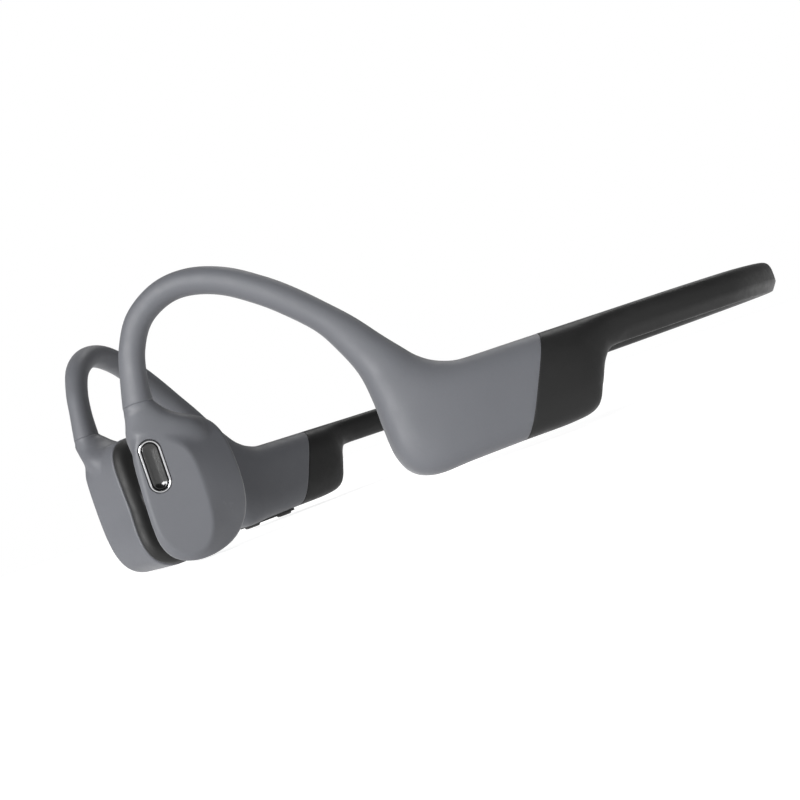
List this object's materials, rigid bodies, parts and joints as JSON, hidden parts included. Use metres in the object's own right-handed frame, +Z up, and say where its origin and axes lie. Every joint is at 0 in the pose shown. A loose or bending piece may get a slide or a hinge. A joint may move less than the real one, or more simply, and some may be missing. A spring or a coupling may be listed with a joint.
{
  "type": "bone conduction headphones",
  "caption": "Open-ear headphones: two ear hooks carry vibrating cheek transducers and are joined by a sprung silicone band behind the neck.",
  "frame": {"origin": "middle of the footprint, at the lowest point of the transducers", "axes": "+X is the wearer's left, -Y is forwards, +Z is up"},
  "size_m": [0.126, 0.1537, 0.0496],
  "materials": {
    "grey_silicone": "soft matt grey silicone",
    "grey_shell": "soft-touch matt grey",
    "black_silicone": "matt black silicone",
    "pad_silicone": "matt dark silicone",
    "titanium": "drawn wire",
    "cable_jacket": "smooth jacket",
    "frame_plastic": "moulded",
    "soft_iron": "nickel plated",
    "magnet": "nickel plated",
    "copper_coil": "enamelled copper winding",
    "spring_steel": "rolled",
    "drive_plastic": "moulded",
    "button_black": "satin black, dished",
    "polished_trim": "polished",
    "seal_rubber": "matt",
    "key_rubber": "satin",
    "circuit_board": "solder mask",
    "switch_steel": "pressed",
    "battery_foil": "laminated foil",
    "antenna_flex": "polyimide film",
    "port_plastic": "satin",
    "gold_contact": "gold plated",
    "light_pipe": "frosted"
  },
  "bodies": {
    "left_half": {"battery_cell": "battery_foil", "battery_protection_board": "circuit_board", "button_dome_switch": "switch_steel", "button_switch_board": "circuit_board", "button_trim_ring": "polished_trim", "button_web_seal": "seal_rubber", "charging_magnets": "magnet", "charging_pins": "gold_contact", "charging_port": "port_plastic", "left_arm_cover": "grey_silicone", "left_band_cable": "cable_jacket", "left_band_sleeve": "black_silicone", "left_band_wire": "titanium", "left_contact_pad": "pad_silicone", "left_driver_frame": "frame_plastic", "left_driver_shell": "grey_shell", "left_exciter_magnet": "magnet", "left_exciter_top_plate": "soft_iron", "left_exciter_yoke": "soft_iron", "left_hook_cable": "cable_jacket", "left_hook_wire": "titanium", "left_pod_frame": "frame_plastic"},
    "right_half": {"bluetooth_antenna": "antenna_flex", "call_microphone": "switch_steel", "chip_shield_can": "switch_steel", "main_circuit_board": "circuit_board", "right_arm_cover": "grey_silicone", "right_band_cable": "cable_jacket", "right_band_sleeve": "black_silicone", "right_band_wire": "titanium", "right_contact_pad": "pad_silicone", "right_driver_frame": "frame_plastic", "right_driver_shell": "grey_shell", "right_exciter_magnet": "magnet", "right_exciter_top_plate": "soft_iron", "right_exciter_yoke": "soft_iron", "right_hook_cable": "cable_jacket", "right_hook_wire": "titanium", "right_pod_frame": "frame_plastic", "status_light_pipe": "light_pipe", "volume_key_strip": "seal_rubber", "volume_switches": "switch_steel"},
    "left_driver_moving": {"left_voice_coil": "copper_coil", "left_suspension_leaf": "spring_steel", "left_drive_plate": "drive_plastic"},
    "right_driver_moving": {"right_voice_coil": "copper_coil", "right_suspension_leaf": "spring_steel", "right_drive_plate": "drive_plastic"},
    "multifunction_key": {"multifunction_button": "button_black"},
    "volume_up": {"volume_up_key": "key_rubber"},
    "volume_down": {"volume_down_key": "key_rubber"}
  },
  "joints": [
    {"name": "band_flex", "type": "hinge", "parent": "left_half", "child": "right_half", "pos_m": [0, 0.0772, 0.0154], "axis": [0, 0, -1], "range_deg": [-1.5, 45], "stiffness_Nm_per_rad": 0.25},
    {"name": "multifunction_press", "type": "slide", "parent": "left_half", "child": "multifunction_key", "axis": [-0.9345, 0.3401, 0.1045], "range_m": [0, 0.00035], "stiffness_N_per_m": 4000},
    {"name": "volume_up_press", "type": "slide", "parent": "right_half", "child": "volume_up", "axis": [0, 0, 1], "range_m": [0, 0.0003], "stiffness_N_per_m": 4000},
    {"name": "volume_down_press", "type": "slide", "parent": "right_half", "child": "volume_down", "axis": [0, 0, 1], "range_m": [0, 0.0003], "stiffness_N_per_m": 4000},
    {"name": "left_driver_vibration", "type": "slide", "parent": "left_half", "child": "left_driver_moving", "axis": [0.9345, -0.3401, -0.1045], "range_m": [-0.0001, 0.0001], "stiffness_N_per_m": 8000},
    {"name": "right_driver_vibration", "type": "slide", "parent": "right_half", "child": "right_driver_moving", "axis": [-0.9345, -0.3401, -0.1045], "range_m": [-0.0001, 0.0001], "stiffness_N_per_m": 8000}
  ]
}
